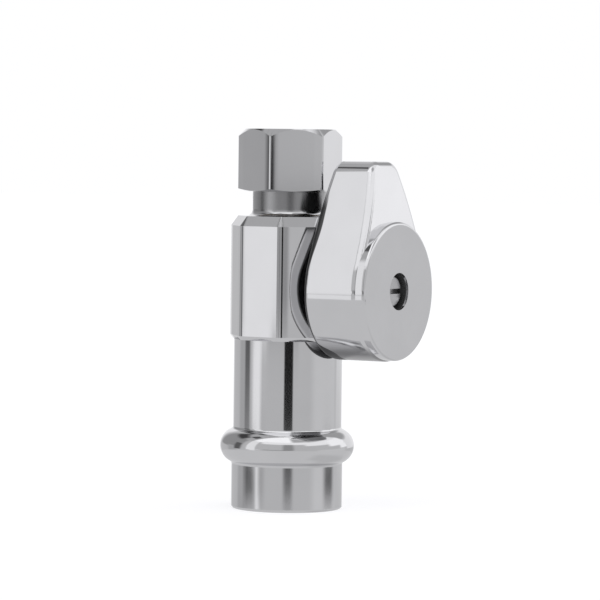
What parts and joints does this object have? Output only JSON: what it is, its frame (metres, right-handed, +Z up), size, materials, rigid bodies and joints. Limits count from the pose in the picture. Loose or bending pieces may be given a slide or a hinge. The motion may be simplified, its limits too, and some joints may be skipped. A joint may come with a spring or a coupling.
{
  "type": "isolating valve",
  "caption": "Straight quarter-turn isolating valve: beaded press socket below, octagonal body, hexagon compression nut on top and a thick teardrop lever on a side stem.",
  "frame": {"origin": "centre of the press socket's mouth, on the lower rim face", "axes": "+Z up the pipe axis from the press socket to the compression nut, +X along the stem out to the lever handle"},
  "size_m": [0.0338, 0.0242, 0.066],
  "materials": {
    "polished_chrome": "polished chrome plate on brass",
    "cast_chrome": "polished chrome plate on a zinc casting",
    "bright_steel": "turned bright steel",
    "bare_brass": "turned bare brass",
    "white_seat": "turned white seat plastic",
    "seal_rubber": "black moulded rubber"
  },
  "bodies": {
    "valve": {"press_end": "polished_chrome", "press_seal_ring": "seal_rubber", "body_joint_ring": "seal_rubber", "valve_body": "polished_chrome", "lower_ball_seat": "white_seat", "upper_ball_seat": "white_seat"},
    "handle": {"lever_handle": "cast_chrome", "handle_screw": "bright_steel", "screw_lock_washer": "bright_steel", "stem": "bare_brass", "ball": "polished_chrome", "stem_thrust_washer": "white_seat", "stem_ring_inner": "seal_rubber", "stem_ring_outer": "seal_rubber"},
    "ferrule": {"compression_ferrule": "bare_brass"},
    "nut": {"compression_nut": "polished_chrome"}
  },
  "joints": [
    {"name": "handle_turn", "type": "hinge", "parent": "valve", "child": "handle", "pos_m": [0.0146, 0, 0.03845], "axis": [1, 0, 0], "range_deg": [-90, 0]},
    {"name": "ferrule_lift", "type": "slide", "parent": "valve", "child": "ferrule", "axis": [0, 0, 1], "range_m": [0, 0.0053]},
    {"name": "nut_turn", "type": "hinge", "parent": "ferrule", "child": "nut", "pos_m": [0, 0, 0.061], "axis": [0, 0, 1], "range_deg": [0, 1800]}
  ],
  "couplings": [
    {"joint": "ferrule_lift", "follows": "nut_turn", "m_per_rad": 0.00016844}
  ]
}
